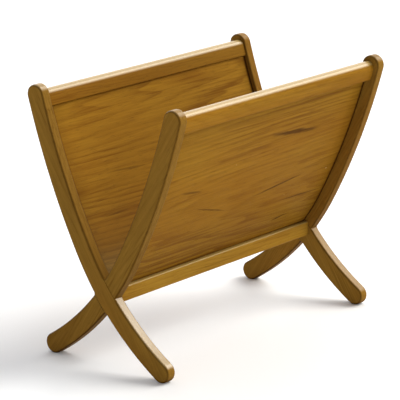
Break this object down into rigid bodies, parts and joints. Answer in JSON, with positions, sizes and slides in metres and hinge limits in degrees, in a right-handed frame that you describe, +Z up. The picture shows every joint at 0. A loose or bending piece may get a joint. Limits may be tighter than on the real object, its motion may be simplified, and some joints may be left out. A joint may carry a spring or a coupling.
{
  "type": "magazine rack",
  "caption": "Free-standing magazine rack: two curved wooden frames cross like an X and hold a V-shaped trough between curved panels with bullnosed top rails.",
  "frame": {"origin": "on the floor under the middle of the rack", "axes": "+X along the length from the left end to the right end, +Y toward the back, +Z up"},
  "size_m": [0.5, 0.3034, 0.419],
  "materials": {
    "leg_teak": "oiled satin, olive brown",
    "rail_teak": "oiled satin, golden brown",
    "panel_teak": "oiled satin, warm brown with darker streaks",
    "dowel_beech": "raw"
  },
  "bodies": {
    "root": {"back_leg_left": "leg_teak", "back_leg_right": "leg_teak", "back_top_rail": "rail_teak", "back_panel": "panel_teak", "back_rail_dowel_left_upper": "dowel_beech", "back_rail_dowel_left_lower": "dowel_beech", "back_rail_dowel_right_upper": "dowel_beech", "back_rail_dowel_right_lower": "dowel_beech", "front_leg_left": "leg_teak", "front_leg_right": "leg_teak", "front_top_rail": "rail_teak", "front_panel": "panel_teak", "front_rail_dowel_left_upper": "dowel_beech", "front_rail_dowel_left_lower": "dowel_beech", "front_rail_dowel_right_upper": "dowel_beech", "front_rail_dowel_right_lower": "dowel_beech", "stretcher": "rail_teak", "stretcher_dowel_left_front": "dowel_beech", "stretcher_dowel_left_back": "dowel_beech", "stretcher_dowel_right_front": "dowel_beech", "stretcher_dowel_right_back": "dowel_beech"}
  },
  "joints": []
}
